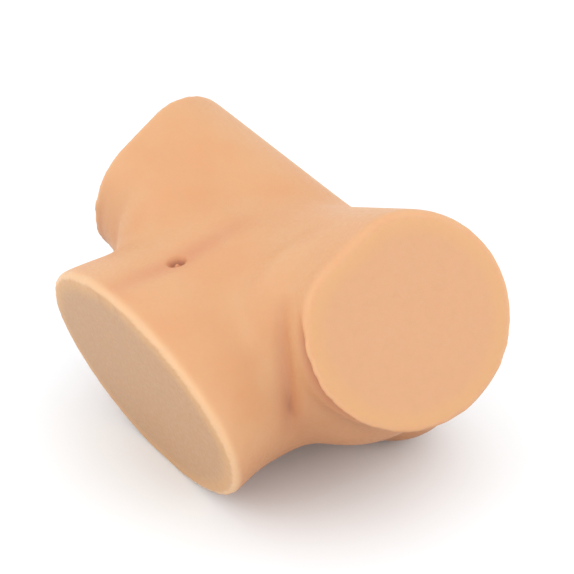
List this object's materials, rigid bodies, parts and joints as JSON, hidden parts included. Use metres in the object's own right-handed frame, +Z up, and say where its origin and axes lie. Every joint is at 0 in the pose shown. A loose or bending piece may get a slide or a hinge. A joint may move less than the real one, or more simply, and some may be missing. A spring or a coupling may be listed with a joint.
{
  "type": "lower torso mannequin form",
  "caption": "Soft neutral lower-torso mannequin form lying on its back, cut flat at the waist and both thighs, over foam cores on a steel frame.",
  "frame": {"origin": "on the surface that the form lies on, under the middle of its box", "axes": "+Z up out of the belly, +Y from the waist cut towards the seat, +X towards the form's right thigh"},
  "size_m": [0.326, 0.2256, 0.1946],
  "materials": {
    "skin": "matt skin-toned soft elastomer",
    "foam": "rigid foam",
    "rod_steel": "zinc plated",
    "hub_metal": "machined"
  },
  "bodies": {
    "root": {"skin": "skin", "trunk_core_front": "foam", "trunk_core_back": "foam", "right_thigh_core": "foam", "left_thigh_core": "foam", "spine_rod": "rod_steel", "right_thigh_rod": "rod_steel", "left_thigh_rod": "rod_steel", "hub": "hub_metal"}
  },
  "joints": []
}
